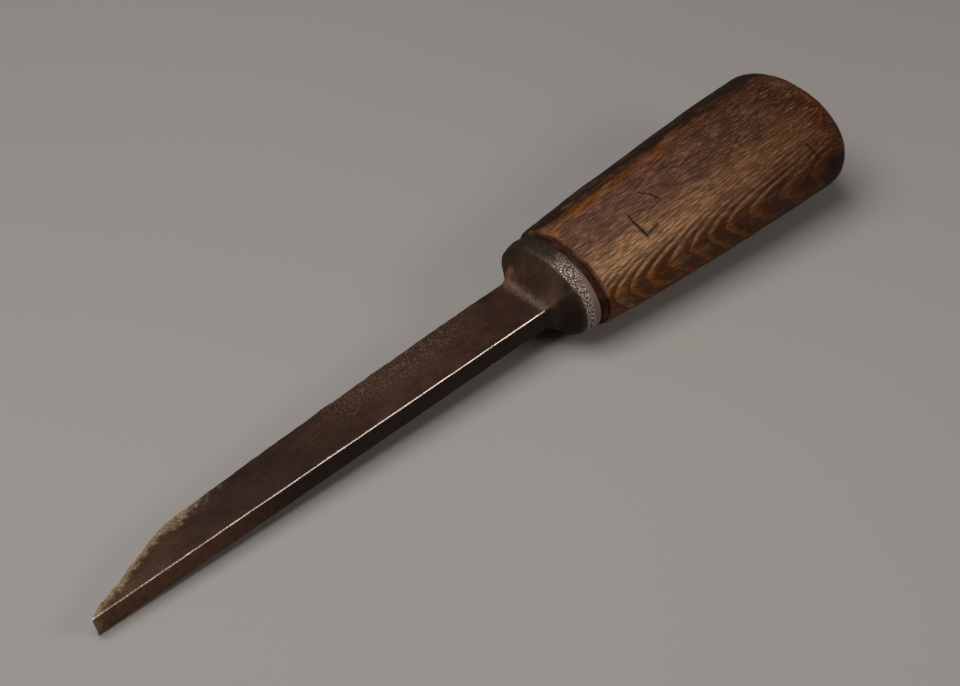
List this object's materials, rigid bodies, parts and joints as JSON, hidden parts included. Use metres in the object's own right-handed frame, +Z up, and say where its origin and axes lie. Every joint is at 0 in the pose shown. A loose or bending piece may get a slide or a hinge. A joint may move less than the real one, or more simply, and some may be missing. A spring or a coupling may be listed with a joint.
{
  "type": "mortise chisel",
  "caption": "Oval-bolstered mortise chisel: narrow deep forged blade with one long bevel, laid steel back, oval bolster, leather washer and oval wooden handle.",
  "frame": {"origin": "bottom centre of the bounding box, on the surface that the tool lies on", "axes": "+X from the cutting edge to the butt, +Y from the flat back to the bevel side, +Z up; the tool lies on its side, resting on the tip's low corner and the bolster's rim"},
  "size_m": [0.3012, 0.0522, 0.0391],
  "materials": {
    "forged_iron": "forged and ground iron with a dark brown patina, rust freckles and a worn bright rim",
    "laid_steel": "ground tool steel, brown patina, bright worn arris",
    "washer_leather": "old compressed sole leather, near black, cracked edge",
    "handle_wood": "ring-porous hardwood, hand-worn, dark oiled patina"
  },
  "bodies": {
    "root": {"iron_blade": "forged_iron", "laid_steel": "laid_steel", "leather_washer": "washer_leather", "handle": "handle_wood"}
  },
  "joints": []
}
